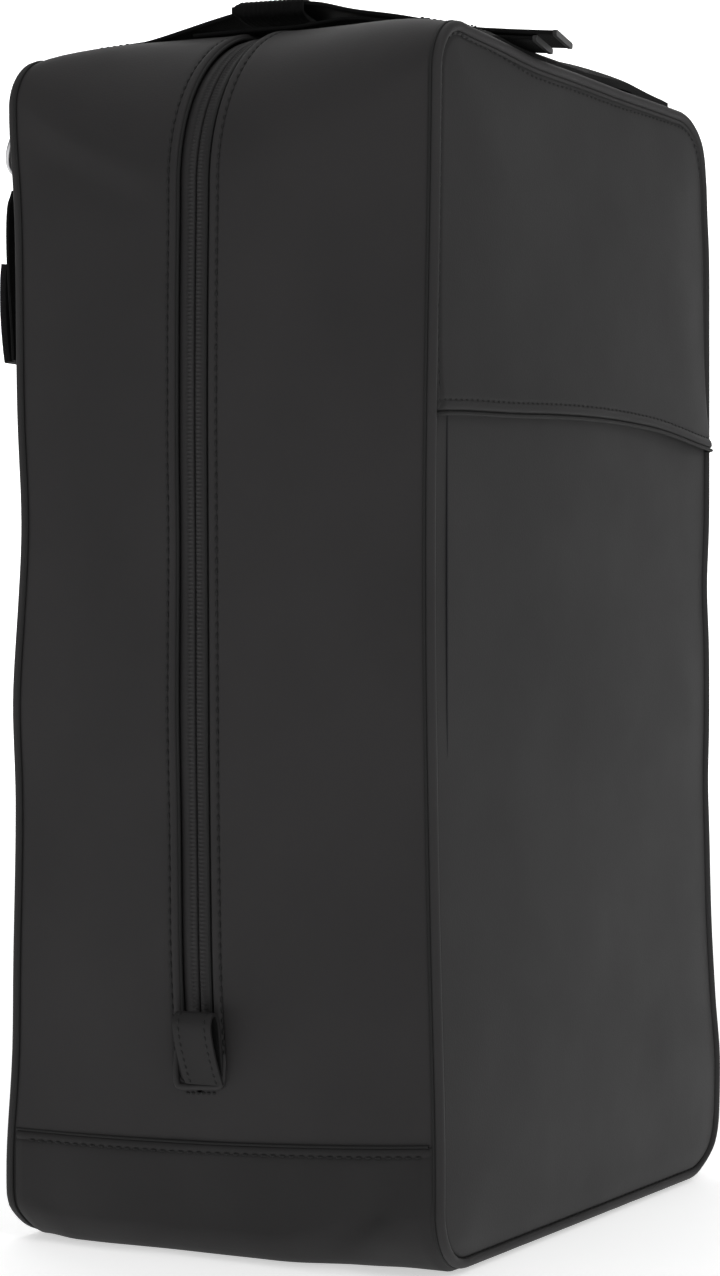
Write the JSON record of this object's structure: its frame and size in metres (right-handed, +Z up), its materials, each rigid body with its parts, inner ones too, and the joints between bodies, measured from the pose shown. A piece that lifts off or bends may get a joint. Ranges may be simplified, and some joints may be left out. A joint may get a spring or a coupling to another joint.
{
  "type": "shoe bag",
  "caption": "Upright clamshell shoe bag in matt coated fabric with a zipper over the top, a lapped front pocket, a top carry strap and rings and straps on the back.",
  "frame": {"origin": "on the floor, below the middle of the bag body", "axes": "+X across the width towards the far side, +Y from the front panel to the back, +Z up"},
  "size_m": [0.24, 0.171, 0.3975],
  "materials": {
    "gusset_fabric": "matt polyurethane-coated fabric, charcoal, fine leather-like grain",
    "front_fabric": "matt polyurethane-coated fabric, charcoal, a touch lighter in the light",
    "welt_fabric": "coated fabric folded round a cord",
    "lining": "plain woven polyester",
    "foam": "closed-cell foam sheet",
    "board": "stiff polyethylene board",
    "zip_tape": "coated zipper tape",
    "zip_coil": "nylon coil",
    "black_metal": "black enamelled zinc",
    "webbing": "black ribbed polyester webbing",
    "ring_metal": "satin nickel-plated wire"
  },
  "bodies": {
    "back_half": {"back_foam": "foam", "back_gusset": "gusset_fabric", "back_lining": "lining", "back_panel": "gusset_fabric", "back_welt": "welt_fabric", "back_zip_coil": "zip_coil", "back_zip_stops": "black_metal", "back_zip_tape": "zip_tape", "base_board": "board", "base_boot": "gusset_fabric", "base_lining": "lining", "far_back_strap_patch": "webbing", "far_grab_loop": "gusset_fabric", "far_lower_gusset": "gusset_fabric", "far_ring_tab": "webbing", "far_zip_patch": "gusset_fabric", "lower_front_panel": "front_fabric", "lower_front_welt": "welt_fabric", "near_back_strap_patch": "webbing", "near_grab_loop": "gusset_fabric", "near_lower_gusset": "gusset_fabric", "near_ring_tab": "webbing", "near_zip_patch": "gusset_fabric", "strap_anchor": "webbing"},
    "front_half": {"upper_front_panel": "front_fabric", "pocket_panel": "front_fabric", "pocket_lining": "lining", "front_foam": "foam", "front_gusset": "gusset_fabric", "front_lining": "lining", "front_zip_tape": "zip_tape", "front_zip_coil": "zip_coil", "front_zip_stops": "black_metal", "front_welt": "welt_fabric", "front_handle": "webbing", "pocket_zip_tape_lower": "zip_tape", "pocket_zip_tape_upper": "zip_tape", "pocket_zip_coil_lower": "zip_coil", "pocket_zip_coil_upper": "zip_coil"},
    "top_strap": {"top_strap": "webbing", "strap_backing": "webbing"},
    "strap_sleeve": {"strap_sleeve": "webbing"},
    "main_slider": {"main_slider": "black_metal"},
    "main_puller": {"main_puller": "black_metal"},
    "pocket_slider": {"pocket_slider": "black_metal", "pocket_puller": "black_metal"},
    "near_ring": {"near_ring": "ring_metal"},
    "far_ring": {"far_ring": "ring_metal"},
    "near_back_strap": {"near_back_strap": "webbing", "near_back_strap_fold": "webbing"},
    "far_back_strap": {"far_back_strap": "webbing", "far_back_strap_fold": "webbing"}
  },
  "joints": [
    {"name": "front_half_open", "type": "hinge", "parent": "back_half", "child": "front_half", "pos_m": [0, -0.079, 0.06], "axis": [1, 0, 0], "range_deg": [0, 85]},
    {"name": "top_strap_lift", "type": "hinge", "parent": "back_half", "child": "top_strap", "pos_m": [-0.066, 0.062, 0.3842], "axis": [0.9763, 0.2164, 0], "range_deg": [-140, 0]},
    {"name": "sleeve_slide", "type": "slide", "parent": "top_strap", "child": "strap_sleeve", "axis": [-0.2164, 0.9763, 0], "range_m": [-0.004, 0.004]},
    {"name": "main_zip_slide", "type": "slide", "parent": "back_half", "child": "main_slider", "axis": [0, 0, 1], "range_m": [0, 0.225]},
    {"name": "main_puller_swing", "type": "hinge", "parent": "main_slider", "child": "main_puller", "pos_m": [0.11195, 0.004, 0.1006], "axis": [0, -1, 0], "range_deg": [0, 110]},
    {"name": "pocket_zip_slide", "type": "slide", "parent": "front_half", "child": "pocket_slider", "axis": [-1, 0, 0], "range_m": [0, 0.14]},
    {"name": "near_ring_swing", "type": "hinge", "parent": "back_half", "child": "near_ring", "pos_m": [-0.096, 0.0788, 0.357], "axis": [1, 0, 0], "range_deg": [0, 130]},
    {"name": "far_ring_swing", "type": "hinge", "parent": "back_half", "child": "far_ring", "pos_m": [0.096, 0.0788, 0.357], "axis": [1, 0, 0], "range_deg": [0, 130]},
    {"name": "near_back_strap_swing", "type": "hinge", "parent": "back_half", "child": "near_back_strap", "pos_m": [-0.096, 0.0787, 0.337], "axis": [1, 0, 0], "range_deg": [0, 120]},
    {"name": "far_back_strap_swing", "type": "hinge", "parent": "back_half", "child": "far_back_strap", "pos_m": [0.096, 0.0787, 0.337], "axis": [1, 0, 0], "range_deg": [0, 120]}
  ],
  "couplings": [
    {"joint": "top_strap_lift", "follows": "front_half_open", "ratio": -1.6}
  ]
}
